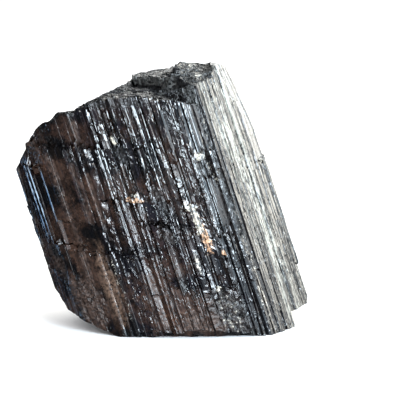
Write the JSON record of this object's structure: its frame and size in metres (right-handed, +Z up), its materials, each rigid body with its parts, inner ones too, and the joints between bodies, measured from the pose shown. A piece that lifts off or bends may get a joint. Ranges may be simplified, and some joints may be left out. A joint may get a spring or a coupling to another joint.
{
  "type": "tourmaline crystal",
  "caption": "Stout, leaning black crystal with long ribs down its sides, level cracks and ledges, and a stepped, broken top, on a flat base.",
  "frame": {"origin": "centre of the bounding box's footprint, on the surface that the crystal stands on", "axes": "+Z up; +X to the right along the broad front face, away from the lean of the long axis; +Y to the back"},
  "size_m": [0.0609, 0.0402, 0.0545],
  "materials": {
    "black_tourmaline": "glassy black crystal with fine lengthwise ribs, rusty brown in its lower cracks"
  },
  "bodies": {
    "root": {"tourmaline_crystal": "black_tourmaline"}
  },
  "joints": []
}
